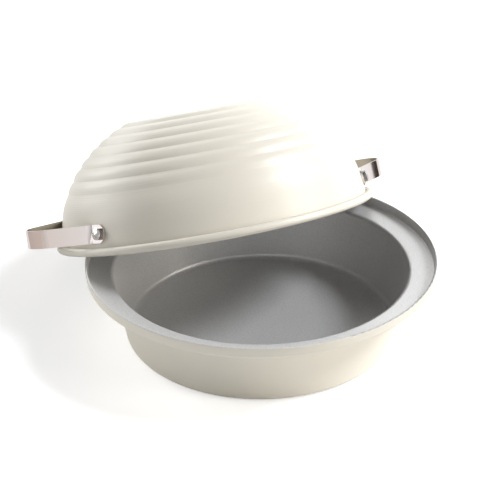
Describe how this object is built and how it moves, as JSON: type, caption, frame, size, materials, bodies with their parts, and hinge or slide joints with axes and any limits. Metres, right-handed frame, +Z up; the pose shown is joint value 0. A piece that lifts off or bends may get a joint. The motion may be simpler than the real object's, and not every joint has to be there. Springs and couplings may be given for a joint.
{
  "type": "bread cloche",
  "caption": "Round baking pan with a flanged lipped rim and a ribbed dome lid with riveted strap handles, leaned open against the pan.",
  "frame": {"origin": "pan's axis at table level, the underside of the pan's floor", "axes": "+Z up; the lid leans towards +Y, the back; the handles point along +X and -X"},
  "size_m": [0.3282, 0.3617, 0.1655],
  "materials": {
    "cream_enamel": "satin cream coating outside, grey non-stick coating inside",
    "grey_nonstick": "satin grey non-stick coating of the inside",
    "polished_steel": "polished stainless steel strap and rivets"
  },
  "bodies": {
    "root": {"base_pan": "cream_enamel", "dome_lid": "cream_enamel", "left_handle": "polished_steel", "right_handle": "polished_steel", "left_front_rivet": "polished_steel", "left_back_rivet": "polished_steel", "right_front_rivet": "polished_steel", "right_back_rivet": "polished_steel"}
  },
  "joints": []
}
